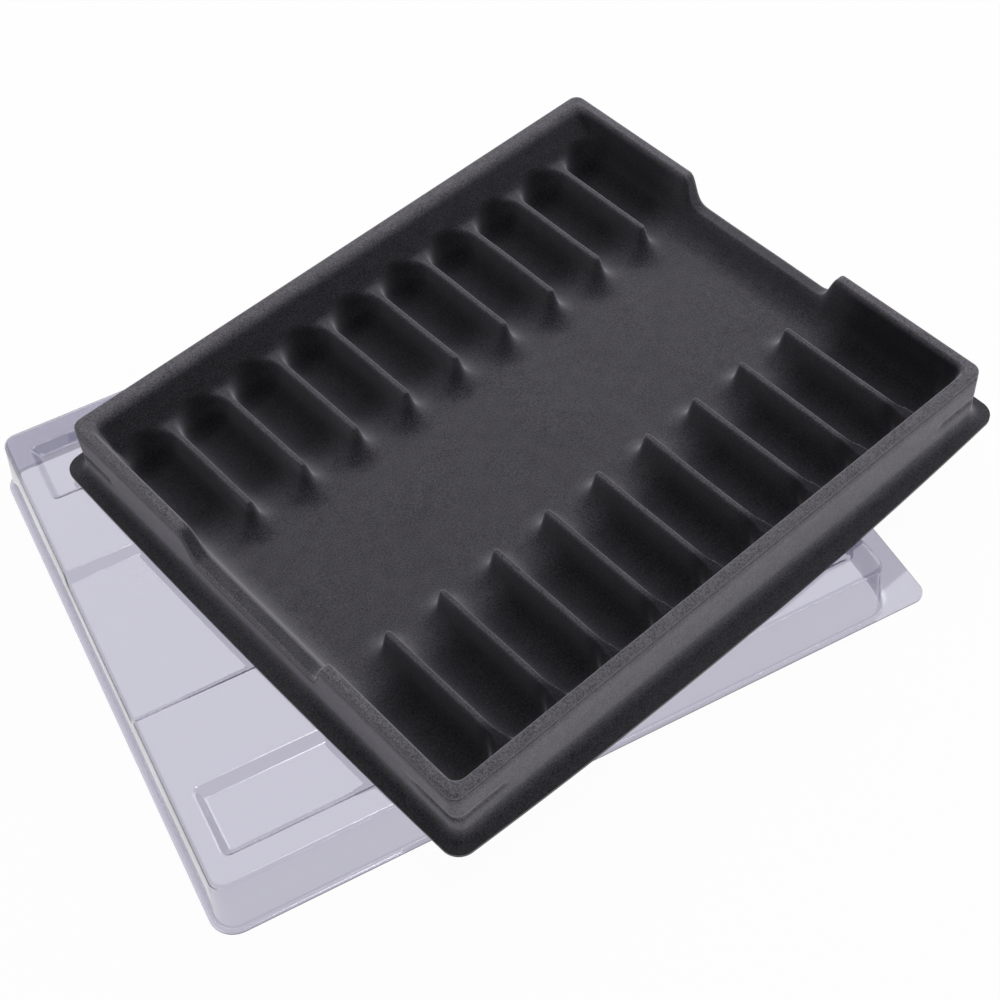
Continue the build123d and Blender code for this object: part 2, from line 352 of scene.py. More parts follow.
def add_piece(name, mesh, place, body, node):
    """Puts a mesh in the frame as a piece that stands for a CAD node."""
    mesh.transform(place)
    piece = bpy.data.objects.new(name, mesh)
    bpy.context.scene.collection.objects.link(piece)
    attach(piece, body)
    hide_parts(node)
    return piece


def ease(share):
    """Smooth step from 0 to 1."""
    share = np.clip(share, 0, 1)
    return share * share * (3 - 2 * share)


def unique_lines(places):
    """Sorted mesh lines, rounded to 0.001 mm so that those which lie on each other are one."""
    return np.unique(np.round(places, 3))


# Circles of sample points over a disc: each one's share of the disc's radius, and its number of points
DISC_CIRCLES = ((0.3, 6), (0.55, 12), (0.8, 18), (1.0, 24))


def soften(height, x, y, radius):
    """Averages a height over a small disc, which rounds its edges."""
    total = height(x, y)
    count = 1
    for share, steps in DISC_CIRCLES:
        for k in range(steps):
            angle = 2 * math.pi * k / steps
            step_x = share * radius * math.cos(angle)
            step_y = share * radius * math.sin(angle)
            total = total + height(x + step_x, y + step_y)
            count += 1
    return total / count


# Tray

FLOOR_Z = TRAY_HEIGHT - FLOOR_DEPTH
RIB_Z = TRAY_HEIGHT - RIB_DEPTH
NOTCH_Z = TRAY_HEIGHT - NOTCH_DEPTH
LAST_SLOT_X = (SLOT_COUNT - 1) / 2 * SLOT_PITCH
SLOT_END_Y = TIP_Y + SLOT_STRAIGHT
TANGENT_D = SLOT_FLAT / 2 + FLOOR_RADIUS * math.cos(WALL_DRAFT)
TANGENT_Z = FLOOR_Z + FLOOR_RADIUS * (1 - math.sin(WALL_DRAFT))
RIB_HALF_D = TANGENT_D + (RIB_Z - TANGENT_Z) * math.tan(WALL_DRAFT)
WALL_TOP_D = TANGENT_D + (TRAY_HEIGHT - TANGENT_Z) * math.tan(WALL_DRAFT)
END_WALL_X = LAST_SLOT_X + WALL_TOP_D
SLOPE_FOOT_Y = SLOT_END_Y + RIB_HALF_D - SLOT_END_BITE
MOUTH_Y = SLOPE_FOOT_Y + WALL_SLOPE_RUN
NEAR_WALL_Y = MOUTH_Y - WALL_TOP_D
NEAR_END_Y = NEAR_WALL_Y - NEAR_END_LEDGE
RIM_X = END_WALL_X + RIM_BAND
RIM_Y = MOUTH_Y + RIM_BAND
FACE_X = RIM_X - RIM_EDGE_RADIUS
FACE_Y = RIM_Y - RIM_EDGE_RADIUS
FACE_CORNER = RIM_CORNER - RIM_EDGE_RADIUS

# Mesh lines of the tray: round a fillet, over half a crest, up a wall, round a corner, over half the trough,
# and along each stretch of a slot
FILLET_LINES = 10
CREST_LINES = 7
WALL_LINES = 12
CORNER_LINES = 6
TROUGH_LINES = 5
SLOT_LINES = 8

# Mesh lines past the ribs' tips, close together where the tips fall away, and where the plain lines begin
LIP_LINES = (0.35, 0.8, 1.4, 2.2, 3.6, 6.0)
PAST_LIPS = 9.0

# How far past the last slot's fillet a mesh line may lie and still count as on it
LINE_MARGIN = 1e-6

# Mesh rings of the tray's outer side: angles round its edge, heights above and below the groove, rings round
# its flare, and shares of its flange's width
EDGE_ANGLES = (18, 36, 54, 72, 90)
ABOVE_GROOVE = (14.5, 12.0, 10.4)
BELOW_GROOVE = 6.0
FLARE_RINGS = 8
FLANGE_SHARES = (0.5, 0.9, 1.0)

# In a notch the rim is low, and the wall's rings that would lie above it go under it, this far apart
RING_GAP = 0.02

# Where the border's normal is longer than this along X or Y, the side counts as straight
STRAIGHT_NORMAL = 0.99


def slot_wall(d):
    """Height of a slot's surface at distance d from its middle line."""
    arc = np.clip(d - SLOT_FLAT / 2, 0, FLOOR_RADIUS * math.cos(WALL_DRAFT))
    fillet = FLOOR_Z + FLOOR_RADIUS - np.sqrt(FLOOR_RADIUS ** 2 - arc ** 2)
    return np.where(d < TANGENT_D, fillet, TANGENT_Z + (d - TANGENT_D) / math.tan(WALL_DRAFT))


def notch_height(y):
    """Height of a finger notch's surface across the end wall."""
    low = NOTCH_TOP_Y - (TRAY_HEIGHT - NOTCH_Z) * math.tan(NOTCH_DRAFT)
    tangent = NOTCH_FLOOR_RADIUS * math.tan((math.pi / 2 - NOTCH_DRAFT) / 2)
    run = np.clip(np.abs(y) - (low - tangent), 0, NOTCH_FLOOR_RADIUS * math.cos(NOTCH_DRAFT))
    fillet = NOTCH_Z + NOTCH_FLOOR_RADIUS - np.sqrt(NOTCH_FLOOR_RADIUS ** 2 - run ** 2)
    side = NOTCH_Z + (np.abs(y) - low) / math.tan(NOTCH_DRAFT)
    height = np.where(np.abs(y) < low - tangent + NOTCH_FLOOR_RADIUS * math.cos(NOTCH_DRAFT), fillet, side)
    return np.minimum(height, TRAY_HEIGHT)


def tray_height(x, y):
    """Height of the tray's show surface over its flange's underside, before softening."""
    side_x = np.abs(x)
    side_y = np.abs(y)
    slot = np.clip(np.round(x / SLOT_PITCH - 0.5), -SLOT_COUNT / 2, SLOT_COUNT / 2 - 1) + 0.5
    end_y = np.where(y < 0, NEAR_END_Y, SLOT_END_Y)
    from_slot = np.hypot(x - slot * SLOT_PITCH, np.maximum(side_y - end_y, 0))
    rib = np.clip(np.round(x / SLOT_PITCH), 1 - SLOT_COUNT / 2, SLOT_COUNT / 2 - 1)
    from_rib = np.hypot(x - rib * SLOT_PITCH, np.maximum(TIP_Y - side_y, 0))
    in_trough = np.maximum(SLOT_PITCH / 2 - from_rib, 0)
    banks = slot_wall(np.where(side_y > TIP_Y, from_slot, in_trough))
    corner = np.clip(side_x - (END_WALL_X - INNER_CORNER), 0, INNER_CORNER)
    corner_rise = INNER_CORNER - np.sqrt(INNER_CORNER ** 2 - corner ** 2)
    slope = RIB_Z + np.maximum(y + corner_rise - SLOPE_FOOT_Y, 0) * (TRAY_HEIGHT - RIB_Z) / WALL_SLOPE_RUN
    past_end = side_x - LAST_SLOT_X
    past_near = -y - NEAR_WALL_Y
    turn = WALL_TOP_D - INNER_CORNER
    past = np.minimum(np.maximum(past_end, past_near), turn) + np.hypot(
        np.maximum(past_end - turn, 0), np.maximum(past_near - turn, 0))
    height = np.maximum(slot_wall(np.maximum(past, 0)), np.minimum(banks, slope))
    return np.minimum(height, notch_height(y))


def half_slot_lines():
    """Distances from a slot's middle line where its wall needs a mesh line, out to the rib's middle."""
    angles = np.linspace(0, math.pi / 2 - WALL_DRAFT, FILLET_LINES)
    fillet = SLOT_FLAT / 2 + FLOOR_RADIUS * np.sin(angles)
    crest = np.linspace(TANGENT_D, SLOT_PITCH / 2, CREST_LINES)[1:]
    return np.concatenate([[0], fillet, crest])


def tray_lines(softness):
    """Mesh lines of the tray's closed face: those across X, and those across Y."""
    half = half_slot_lines()
    slots = np.arange(SLOT_COUNT) * SLOT_PITCH - LAST_SLOT_X
    inner = np.concatenate([slot + side * half for slot in slots for side in (-1, 1)])
    inner = inner[np.abs(inner) <= LAST_SLOT_X + TANGENT_D + LINE_MARGIN]
    wall = np.linspace(TANGENT_D, WALL_TOP_D + softness, WALL_LINES)
    end_wall = LAST_SLOT_X + wall[1:]
    corner = np.linspace(FACE_X - FACE_CORNER, FACE_X, CORNER_LINES)
    across_x = np.concatenate([inner, end_wall, corner, -end_wall, -corner])

    trough = np.linspace(0, TIP_Y - SLOT_PITCH / 2, TROUGH_LINES)[:-1]
    noses = TIP_Y - (SLOT_PITCH / 2 - half)
    lips = TIP_Y + np.array(LIP_LINES)
    corner = np.linspace(FACE_Y - FACE_CORNER, FACE_Y, CORNER_LINES)
    both = np.concatenate([trough, noses, lips, corner])
    far = np.concatenate([
        np.linspace(TIP_Y + PAST_LIPS, SLOT_END_Y, SLOT_LINES)[:-1],
        SLOT_END_Y + half,
        np.linspace(SLOT_END_Y + SLOT_PITCH / 2, MOUTH_Y - softness, SLOT_LINES)[1:-1],
        np.linspace(MOUTH_Y - softness, MOUTH_Y + softness, SLOT_LINES),
    ])
    near = np.concatenate([
        np.linspace(TIP_Y + PAST_LIPS, NEAR_END_Y, SLOT_LINES)[:-1],
        NEAR_END_Y + half[half < TANGENT_D],
        NEAR_WALL_Y + wall,
    ])
    across_y = np.concatenate([both, far, -both, -near])
    return unique_lines(across_x), unique_lines(across_y)


def turn_lines(u, v, full_turn, no_turn):
    """Bends square mesh lines into circles round the origin, up to full_turn, and back by no_turn."""
    reach = np.maximum(np.abs(u), v)
    divisor = np.maximum(reach, TINY)
    angle = np.where(np.abs(u) >= v, v / divisor, 2 - np.abs(u) / divisor) * math.pi / 4
    share = ease((reach - full_turn) / (no_turn - full_turn))
    turned_u = np.sign(u) * reach * np.cos(angle)
    turned_v = reach * np.sin(angle)
    apply = (v > 0) & (reach < no_turn)
    return (np.where(apply, turned_u + (u - turned_u) * share, u),
            np.where(apply, turned_v + (v - turned_v) * share, v))


def follow_forms(x, y):
    """Bends the grid's lines round the slot ends and the rib noses."""
    side_y = np.abs(y)
    sign_y = np.where(y < 0, -1.0, 1.0)
    slot = (np.clip(np.round(x / SLOT_PITCH - 0.5), -SLOT_COUNT / 2, SLOT_COUNT / 2 - 1) + 0.5) * SLOT_PITCH
    walled = (np.abs(x) > LAST_SLOT_X) | (y < 0)
    end_y = np.where(y < 0, NEAR_END_Y, SLOT_END_Y)
    v = side_y - end_y
    full = np.where(walled, TANGENT_D, RIB_HALF_D)
    none = np.where(walled, RIB_HALF_D, SLOT_PITCH / 2)
    new_u, new_v = turn_lines(x - slot, v, full, none)
    x = np.where(v > 0, slot + new_u, x)
    side_y = np.where(v > 0, end_y + new_v, side_y)
    rib = np.clip(np.round(x / SLOT_PITCH), 1 - SLOT_COUNT / 2, SLOT_COUNT / 2 - 1) * SLOT_PITCH
    v = TIP_Y - side_y
    new_u, new_v = turn_lines(x - rib, v, SLOT_PITCH / 2 - SLOT_FLAT / 2, SLOT_PITCH / 2)
    take = (v > 0) & (v < SLOT_PITCH / 2) & (np.abs(x - rib) < SLOT_PITCH / 2)
    x = np.where(take, rib + new_u, x)
    side_y = np.where(take, TIP_Y - new_v, side_y)
    return x, sign_y * side_y


def bow(border):
    """How far the flange bows out past its corners, in X and in Y, all round the border."""
    straight_x = np.abs(border.normal_x) > STRAIGHT_NORMAL
    straight_y = np.abs(border.normal_y) > STRAIGHT_NORMAL
    bow_x = np.where(straight_x, np.sign(border.normal_x) * (1 - border.along ** 2), 0)
    bow_y = np.where(straight_y, np.sign(border.normal_y) * (1 - border.across ** 2), 0)
    return bow_x * FLANGE_BOW_SHORT, bow_y * FLANGE_BOW_LONG


def groove_share(border):
    """1 in the catch grooves round the tray's corners, easing to 0 at their ends."""
    to_corner_x = RIM_X - np.abs(border.across) * RIM_X
    to_corner_y = RIM_Y - np.abs(border.along) * RIM_Y
    distance = np.where(np.abs(border.normal_x) > np.abs(border.normal_y), to_corner_y, to_corner_x)
    return np.clip((GROOVE_LENGTH - distance) / GROOVE_RUN_OUT, 0, 1)


def groove_profile(z):
    """1 between the groove's edges at height z, easing to 0 past them."""
    middle = (GROOVE_LOW + GROOVE_HIGH) / 2
    half = (GROOVE_HIGH - GROOVE_LOW) / 2
    return min(max((half + GROOVE_EDGE / 4 - abs(z - middle)) / GROOVE_EDGE, 0), 1)


def wall_heights():
    """Heights of the mesh rings down the tray's wall, close together at the groove's edges."""
    steps = np.array((0.5, -0.25, -1)) * GROOVE_EDGE
    middle = (GROOVE_LOW + GROOVE_HIGH) / 2
    return (*ABOVE_GROOVE, *(GROOVE_HIGH + steps), middle, *(GROOVE_LOW - steps[::-1]), BELOW_GROOVE)


def tray_rings(border, top, sheet):
    """Rings of the tray's outer side: edge, line, wall, flare and flange. With each go how far it is painted
    darker and the share of the sheet's thickness that is left."""
    rings = []
    for angle in np.radians(EDGE_ANGLES):
        x, y = border.offset(RIM_EDGE_RADIUS * math.sin(angle))
        rings.append(((x, y, top - RIM_EDGE_RADIUS * (1 - math.cos(angle))), 0, DRAWN_SHARE))
    # The groove under the rim, darkened by painted shade
    for step in (-1, -0.5, 0, 0.5, 1):
        depth = 1 - step ** 2
        x, y = border.offset(RIM_EDGE_RADIUS - RIM_LINE_DEPTH * depth)
        z = top - RIM_LINE_DROP - RIM_LINE_HEIGHT / 2 * step
        rings.append(((x, y, z), RIM_LINE_SHADE * depth, DRAWN_SHARE))
    wall_top = top - RIM_LINE_DROP - RIM_LINE_HEIGHT
    groove_depth = groove_share(border) * GROOVE_DEPTH
    for k, height in enumerate(wall_heights()):
        x, y = border.offset(RIM_EDGE_RADIUS - groove_depth * groove_profile(height))
        rings.append(((x, y, np.minimum(height, wall_top - RING_GAP * k)), 0, DRAWN_SHARE))
    # Down the flare and over the flange the flock is painted darker
    for angle in np.linspace(0, math.pi / 2, FLARE_RINGS):
        flare_x, flare_y = border.offset(RIM_EDGE_RADIUS + FLANGE_FLARE_RADIUS * (1 - math.cos(angle)))
        z = np.full_like(top, sheet + FLANGE_FLARE_RADIUS * (1 - math.sin(angle)))
        rings.append(((flare_x, flare_y, z), FLANGE_DARKENING * math.sin(angle),
                      DRAWN_SHARE + (1 - DRAWN_SHARE) * math.sin(angle)))
    edge_x, edge_y = border.outline(-RIM_X - FLANGE_REACH, RIM_X + FLANGE_REACH, RIM_Y + FLANGE_REACH,
                                    FLANGE_CORNER, FLANGE_CORNER)
    bow_x, bow_y = bow(border)
    for share in FLANGE_SHARES:
        x = flare_x + (edge_x + bow_x - flare_x) * share
        y = flare_y + (edge_y + bow_y - flare_y) * share
        rings.append(((x, y, np.full_like(top, sheet)), FLANGE_DARKENING, 1.0))
    return rings


def mark_drawn_sheet(piece, sheet, grid_count, ring_thickness):
    """Stores the share of the sheet's thickness that is left: all in the flange, less in walls and bends."""
    mesh = piece.data
    count = len(mesh.vertices)
    kept = np.full(count, DRAWN_SHARE)
    kept[grid_count:] = np.repeat(ring_thickness, (count - grid_count) // len(ring_thickness))
    points = np.empty(count * 3)
    normals = np.empty(count * 3)
    ends = np.empty(len(mesh.edges) * 2, dtype=np.int32)
    mesh.vertices.foreach_get("co", points)
    mesh.vertices.foreach_get("normal", normals)
    mesh.edges.foreach_get("vertices", ends)
    points = points.reshape(-1, 3)
    normals = normals.reshape(-1, 3)
    ends = ends.reshape(-1, 2)
    run = np.linalg.norm(points[ends[:, 0]] - points[ends[:, 1]], axis=1)
    turn = np.linalg.norm(normals[ends[:, 0]] - normals[ends[:, 1]], axis=1)
    radius = run / np.maximum(turn, TINY)
    for end in (0, 1):
        np.minimum.at(kept, ends[:, end], BEND_ROOM * radius / sheet)
    group = piece.vertex_groups.new(name=DRAWN_SHEET)
    for index, share in enumerate(kept):
        group.add((index,), float(share), "REPLACE")


def mark_painted_shade(mesh, grid_count, ring_shade):
    """Stores the painted shade: none on the rim, more down in the tray, most in the pockets and slots, and
    the rings' own darkening.
    """
    count = len(mesh.vertices)
    points = np.empty(count * 3)
    mesh.vertices.foreach_get("co", points)
    side_x, side_y, height = (np.abs(points[k::3]) / MM for k in range(3))
    near = points[1::3] < 0
    into_slot = ease((side_y - TIP_Y) / POCKET_REACH)
    pocket = TROUGH_SHADE + (POCKET_SHADE - TROUGH_SHADE) * into_slot
    below_crest = ease((RIB_Z - height) / CREST_FADE)
    past_ribs = ease(np.maximum(side_x - LAST_SLOT_X, side_y - SLOT_END_Y) / CREST_FADE)
    off_ribs = np.where(near, 1.0, SLOPE_SHADE) * past_ribs
    below_rim = ease((TRAY_HEIGHT - height) / RIM_FADE)
    crest = CREST_SHADE + (pocket - CREST_SHADE) * np.maximum(below_crest, off_ribs)
    shade_amount = below_rim * crest
    shade_amount[grid_count:] = np.repeat(ring_shade, (count - grid_count) // len(ring_shade))
    mesh.attributes.new(PAINTED_SHADE_NAME, "FLOAT", "POINT").data.foreach_set("value", shade_amount)


def wander(x, y, z, reach):
    """Slow rises and falls of a formed sheet, up to reach high, that fade out towards the rim."""
    waves = [noise.noise(Vector((px, py, 0)) / WANDER_LENGTH) for px, py in zip(x.ravel(), y.ravel())]
    return z + reach * np.array(waves).reshape(x.shape) * np.clip((TRAY_HEIGHT - z) / RIB_DEPTH, 0, 1)


def tray_surface(settings):
    """The tray's show surface in the tray's own place, its grid's point count, and its rings' thickness."""
    softness = settings.softness / MM
    lines_x, lines_y = tray_lines(softness)
    x, y = np.meshgrid(lines_x, lines_y, indexing="ij")
    border_index = border_indices(*x.shape)
    border = Border(x.ravel()[border_index], y.ravel()[border_index], FACE_X, FACE_Y, FACE_CORNER)
    x, y = follow_forms(x, y)
    x, y = press_corners(x, y, FACE_X, FACE_Y, FACE_CORNER)
    # The ribs' edges stay crisper than those of the walls
    to_wall = np.minimum(END_WALL_X - np.abs(x), MOUTH_Y - np.abs(y))
    radius = softness + (settings.crest_softness / MM - softness) * ease(to_wall / WALL_REACH)
    z = wander(x, y, soften(tray_height, x, y, radius), settings.unevenness / MM)
    top = z.ravel()[border_index]
    places, ring_shades, thickness = zip(*tray_rings(border, top, settings.sheet / MM))
    mesh = sheet_mesh("flocked_tray_sheet", x, y, z, places)
    mark_painted_shade(mesh, x.size, ring_shades)
    return mesh, x.size, thickness


# Lid

LID_TOP_X = RIM_X + LID_CLEARANCE + LID_SHEET
LID_TOP_Y = RIM_Y + LID_CLEARANCE + LID_SHEET
LID_CORNER = RIM_CORNER + LID_CLEARANCE + LID_SHEET
LID_SPREAD = LID_HEIGHT * math.tan(LID_DRAFT)
LID_EDGE_TANGENT = LID_EDGE_RADIUS * math.tan((math.pi / 2 - LID_DRAFT) / 2)
PLATE_X = LID_TOP_X - LID_EDGE_TANGENT
PLATE_Y = LID_TOP_Y - LID_EDGE_TANGENT
PLATE_CORNER = LID_CORNER - LID_EDGE_TANGENT
BAR_HALF_X = END_WALL_X - BAR_END_GAP
CHANNEL_HALF_Y = NOTCH_TOP_Y - CHANNEL_GAP
RECESS_RUN = RECESS_DEPTH * math.tan(RECESS_SLOPE)

# Mesh lines of the lid: along it, across it and round a corner, and how far they keep from a recess's mouth
LID_LINES_X = 16
LID_LINES_Y = 6
LID_CORNER_LINES = 7
INSIDE_MOUTH = 4.0
OUTSIDE_MOUTH = 2.0

# Mesh lines across a recess's mouth, and how far to each side they reach, in radii of its softening
MOUTH_LINES = 7
MOUTH_SPREAD = 1.5

# Mesh rings of the lid's side: round its edge and its foot, heights on its wall, and shares of its flange's
# width
LID_EDGE_RINGS = 7
LID_FOOT_RINGS = 6
LID_WALL_HEIGHTS = (12.0, 6.0)
LID_FLANGE_SHARES = (0.25, 0.5, 0.75, 1.0)


def lid_height(x, y):
    """Height of the lid's closed face, before its edges are softened."""
    inside_x = np.abs(x) - (BAR_HALF_X - RECESS_CORNER)
    inside_y = np.abs(np.abs(y) - BAR_OFFSET) - (BAR_WIDTH / 2 - RECESS_CORNER)
    outside = np.hypot(np.maximum(inside_x, 0), np.maximum(inside_y, 0))
    to_bar_edge = RECESS_CORNER - outside - np.minimum(np.maximum(inside_x, inside_y), 0)
    to_channel_edge = CHANNEL_HALF_Y - np.abs(y)
    depth = np.maximum(to_bar_edge, to_channel_edge) / math.tan(RECESS_SLOPE)
    return LID_HEIGHT - np.clip(depth, 0, RECESS_DEPTH)


def edge_lines(edge, direction):
    """Mesh lines across a recess's sloping side, whose mouth is at edge."""
    near = np.linspace(-MOUTH_SPREAD, MOUTH_SPREAD, MOUTH_LINES) * RECESS_EDGE
    foot = RECESS_RUN + near
    return edge + direction * np.concatenate([near, [RECESS_RUN / 2], foot])


def lid_lines():
    """Mesh lines of the lid's closed face: those across X, and those across Y."""
    bar_low = BAR_OFFSET - BAR_WIDTH / 2
    bar_high = BAR_OFFSET + BAR_WIDTH / 2
    half_x = np.concatenate([
        np.linspace(0, BAR_HALF_X - INSIDE_MOUTH, LID_LINES_X),
        edge_lines(BAR_HALF_X, -1),
        np.linspace(PLATE_X - PLATE_CORNER, PLATE_X, LID_CORNER_LINES),
    ])
    half_y = np.concatenate([
        np.linspace(0, CHANNEL_HALF_Y - INSIDE_MOUTH, LID_LINES_Y),
        edge_lines(CHANNEL_HALF_Y, -1),
        np.linspace(CHANNEL_HALF_Y + OUTSIDE_MOUTH, bar_low - OUTSIDE_MOUTH, LID_LINES_Y),
        edge_lines(bar_low, 1),
        (BAR_OFFSET,),
        edge_lines(bar_high, -1),
        np.linspace(PLATE_Y - PLATE_CORNER, PLATE_Y, LID_CORNER_LINES),
    ])
    across_x = np.concatenate([half_x, -half_x])
    across_y = np.concatenate([half_y, -half_y])
    return unique_lines(across_x), unique_lines(across_y)


def lid_rings(border, top, sheet):
    """Rings of the lid's side: edge, drafted wall, foot, and the flange with its lift tab."""
    rings = []
    turn = math.pi / 2 - LID_DRAFT
    step_out = (LID_HEIGHT - top) * math.tan(LID_DRAFT)
    for angle in np.linspace(0, turn, LID_EDGE_RINGS)[1:]:
        x, y = border.offset(step_out + LID_EDGE_RADIUS * math.sin(angle))
        rings.append((x, y, top - LID_EDGE_RADIUS * (1 - math.cos(angle))))
    foot_tangent = LID_FOOT_RADIUS * math.tan(turn / 2)
    foot_z = sheet + foot_tangent * math.cos(LID_DRAFT)
    to_wall = LID_TOP_X - PLATE_X
    for z in (*LID_WALL_HEIGHTS, foot_z):
        x, y = border.offset(to_wall + (LID_HEIGHT - z) * math.tan(LID_DRAFT))
        rings.append((x, y, np.full_like(top, z)))
    foot_out = to_wall + (LID_HEIGHT - sheet) * math.tan(LID_DRAFT) + foot_tangent
    for angle in np.linspace(turn, 0, LID_FOOT_RINGS)[1:]:
        foot_x, foot_y = border.offset(foot_out - LID_FOOT_RADIUS * math.sin(angle))
        rings.append((foot_x, foot_y, np.full_like(top, sheet + LID_FOOT_RADIUS * (1 - math.cos(angle)))))
    side_x = LID_TOP_X + LID_SPREAD
    side_y = LID_TOP_Y + LID_SPREAD + LID_FLANGE
    edge_x, edge_y = border.outline(-side_x - LID_FLANGE, side_x + TAB_REACH, side_y,
                                    LID_FLANGE_CORNER, TAB_CORNER)
    for share in LID_FLANGE_SHARES:
        x = foot_x + (edge_x - foot_x) * share
        y = foot_y + (edge_y - foot_y) * share
        rings.append((x, y, np.full_like(top, sheet)))
    return rings


def lid_surface(settings):
    """The lid's outer surface, in the lid's own place."""
    lines_x, lines_y = lid_lines()
    x, y = np.meshgrid(lines_x, lines_y, indexing="ij")
    border_index = border_indices(*x.shape)
    border = Border(x.ravel()[border_index], y.ravel()[border_index], PLATE_X, PLATE_Y, PLATE_CORNER)
    x, y = press_corners(x, y, PLATE_X, PLATE_Y, PLATE_CORNER)
    z = soften(lid_height, x, y, RECESS_EDGE)
    to_border = np.clip((np.abs(x) - (PLATE_X - PLATE_CORNER)) / PLATE_CORNER, 0, 1)
    x = x + np.sign(x) * to_border * (LID_HEIGHT - z) * math.tan(LID_DRAFT)
    rings = lid_rings(border, z.ravel()[border_index], settings.sheet / MM)
    return sheet_mesh("clear_lid_sheet", x, y, z, rings)


# Materials

def add_node(tree, kind, settings=None, inputs=None):
    """Adds a node, sets its options, and gives each input named a value or a link."""
    node = tree.nodes.new(kind)
    for key, value in (settings or {}).items():
        setattr(node, key, value)
    for key, value in (inputs or {}).items():
        if isinstance(value, bpy.types.NodeSocket):
            tree.links.new(value, node.inputs[key])
        else:
            node.inputs[key].default_value = value
    return node


def new_material(name):
    """Empty material with its node tree and output."""
    material = bpy.data.materials.new(name)
    material.use_nodes = True
    tree = material.node_tree
    tree.nodes.clear()
    return material, tree, add_node(tree, "ShaderNodeOutputMaterial")


def flocked_nylon(settings):
    """Black nylon flock: grainy, paler where the pile is seen edge on, with painted shade darkening it down
    in the tray and its pockets.
    """
    material, tree, output = new_material("nylon_flock_black")
    place = add_node(tree, "ShaderNodeTexCoord").outputs["Object"]
    shade_amount = add_node(tree, "ShaderNodeAttribute", {"attribute_name": PAINTED_SHADE_NAME}).outputs["Fac"]
    # The real fibres are far too fine to show, so the grain is that of tufts of them
    grain = add_node(tree, "ShaderNodeTexNoise", inputs={
        "Vector": place, "Scale": 1 / settings.fibre, "Detail": 2.0, "Roughness": 0.7}).outputs["Fac"]
    mottle = add_node(tree, "ShaderNodeTexNoise", inputs={
        "Vector": place, "Scale": 1 / (FLOCK_MOTTLE * MM), "Detail": 2.0}).outputs["Fac"]
    blend = add_node(tree, "ShaderNodeMix", inputs={
        "Factor": 0.15, "A": grain, "B": mottle}).outputs["Result"]
    level = add_node(tree, "ShaderNodeMapRange", inputs={
        "Value": blend, "From Min": 0.3, "From Max": 0.7, "To Min": 0.3, "To Max": 1.7}).outputs["Result"]
    bump = add_node(tree, "ShaderNodeBump", inputs={
        "Height": grain, "Strength": 0.6, "Distance": FLOCK_PILE * MM}).outputs["Normal"]
    shaders = []
    # A lit and a shaded copy of the flock, mixed by the painted shade
    for colour in (settings.flock_unshaded, settings.flock_shaded):
        grained = add_node(tree, "ShaderNodeVectorMath", {"operation": "SCALE"}, {
            0: colour[:3], "Scale": level}).outputs[0]
        flock = add_node(tree, "ShaderNodeBsdfPrincipled", inputs={
            "Base Color": grained, "Roughness": 1.0, "Specular IOR Level": 0.0, "Normal": bump,
            "Sheen Weight": 1.0, "Sheen Roughness": 0.3, "Sheen Tint": linear_from_hex("#d0ced6")})
        shaders.append(flock.outputs[0])
    mix = add_node(tree, "ShaderNodeMixShader", inputs={0: shade_amount, 1: shaders[0], 2: shaders[1]}).outputs[0]
    # Sheen of the fibres' sides, which show where the pile is seen edge on
    graze = add_node(tree, "ShaderNodeLayerWeight", inputs={"Blend": 0.15, "Normal": bump}).outputs["Facing"]
    sides = add_node(tree, "ShaderNodeBsdfDiffuse", inputs={"Color": settings.fibre_side}).outputs[0]
    # Less sheen where the shade is painted
    sheen_kept = add_node(tree, "ShaderNodeMapRange", inputs={
        "Value": shade_amount, "From Min": 0.6, "To Min": 1.0, "To Max": 0.3}).outputs["Result"]
    graze = add_node(tree, "ShaderNodeMath", {"operation": "MULTIPLY"}, {0: graze, 1: sheen_kept}).outputs[0]
    mix = add_node(tree, "ShaderNodeMixShader", inputs={0: graze, 1: mix, 2: sides}).outputs[0]
    tree.links.new(mix, output.inputs[0])
    return material


def bare_polystyrene():
    """Black high-impact polystyrene, vacuum formed: the bare back of the sheet, with a low satin gloss."""
    material, tree, output = new_material("polystyrene_black_formed")
    place = add_node(tree, "ShaderNodeTexCoord").outputs["Object"]
    waves = add_node(tree, "ShaderNodeTexNoise", inputs={
        "Vector": place, "Scale": 1 / (FORMED_WAVE * MM), "Detail": 2.0}).outputs["Fac"]
    rough = add_node(tree, "ShaderNodeMapRange", inputs={
        "Value": waves, "To Min": 0.34, "To Max": 0.5}).outputs["Result"]
    bump = add_node(tree, "ShaderNodeBump", inputs={
        "Height": waves, "Strength": 0.3, "Distance": FORMED_WAVE_DEPTH * MM}).outputs["Normal"]
    shader = add_node(tree, "ShaderNodeBsdfPrincipled", inputs={
        "Base Color": linear_from_hex("#141214"), "Roughness": rough, "IOR": POLYSTYRENE_IOR,
        "Normal": bump})
    tree.links.new(shader.outputs[0], output.inputs[0])
    return material


